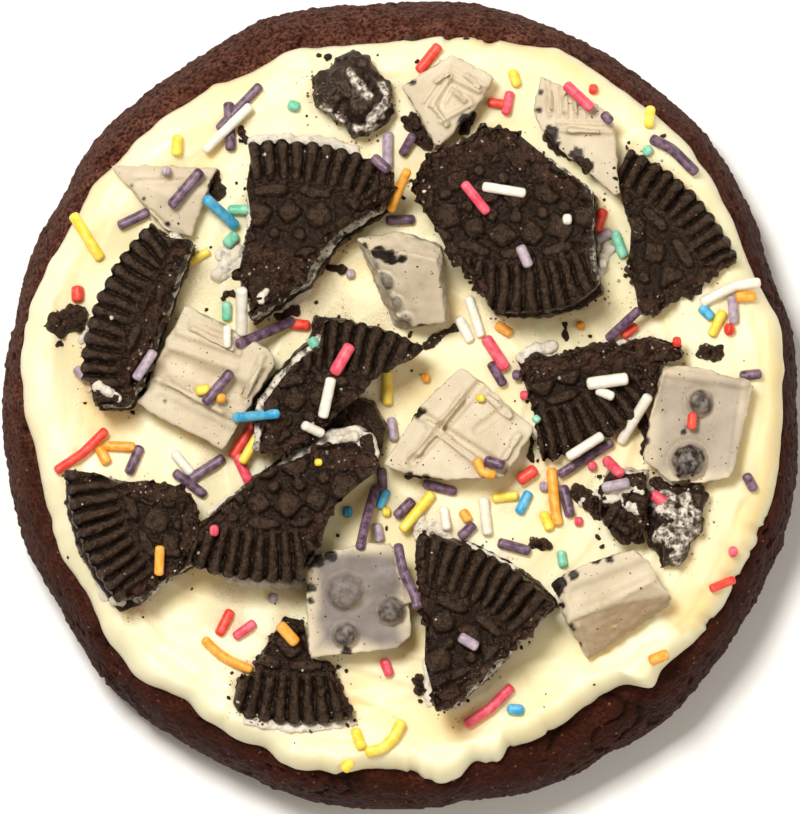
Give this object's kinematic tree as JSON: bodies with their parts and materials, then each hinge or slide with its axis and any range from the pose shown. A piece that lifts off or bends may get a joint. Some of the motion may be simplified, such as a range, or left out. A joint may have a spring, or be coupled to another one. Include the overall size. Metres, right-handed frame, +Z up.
{
  "type": "cookies and cream cookie",
  "caption": "Thick round dark cookie spread with pale frosting, topped with broken sandwich biscuits, white chunks, crumbs and sprinkles.",
  "frame": {"origin": "centre of the bounding box in plan, at the level of the flat underside", "axes": "+Z up out of the topping, +Y towards the top of the picture, +X towards its right"},
  "size_m": [0.0822, 0.0834, 0.0268],
  "materials": {
    "baked_cookie": "baked, matte and craggy",
    "frosting": "smooth spread frosting, soft sheen",
    "dark_wafer": "baked, matte, embossed",
    "creme": "matte sugar creme",
    "white_chunk": "moulded, satin, speckled with dark crumbs"
  },
  "bodies": {
    "root": {"cookie_base": "baked_cookie", "frosting": "frosting", "biscuit_lower_middle_top": "dark_wafer", "biscuit_lower_middle_creme": "creme", "biscuit_lower_middle_under": "dark_wafer", "biscuit_middle_top": "dark_wafer", "biscuit_middle_creme": "creme", "biscuit_middle_under": "dark_wafer", "biscuit_top_left_top": "dark_wafer", "biscuit_top_left_creme": "creme", "biscuit_top_left_under": "dark_wafer", "biscuit_top_right_top": "dark_wafer", "biscuit_top_right_creme": "creme", "biscuit_top_right_under": "dark_wafer", "biscuit_right_wedge_top": "dark_wafer", "biscuit_left_top": "dark_wafer", "biscuit_left_creme": "creme", "biscuit_left_under": "dark_wafer", "biscuit_bottom_middle_top": "dark_wafer", "biscuit_bottom_middle_creme": "creme", "biscuit_bottom_middle_under": "dark_wafer", "biscuit_lower_left_top": "dark_wafer", "biscuit_lower_left_creme": "creme", "biscuit_lower_left_under": "dark_wafer", "biscuit_right_middle_top": "dark_wafer", "biscuit_bottom_left_top": "dark_wafer", "biscuit_right_broken_top": "dark_wafer", "biscuit_right_broken_creme": "creme", "biscuit_top_lump": "dark_wafer", "biscuit_right_lump": "dark_wafer", "white_chunk_centre": "white_chunk", "white_chunk_left": "white_chunk", "white_chunk_middle": "white_chunk", "white_chunk_top": "white_chunk", "white_chunk_top_right": "white_chunk", "white_chunk_top_left": "white_chunk", "white_chunk_right": "white_chunk", "white_chunk_bottom": "white_chunk", "white_chunk_bottom_right": "white_chunk"}
  },
  "joints": []
}
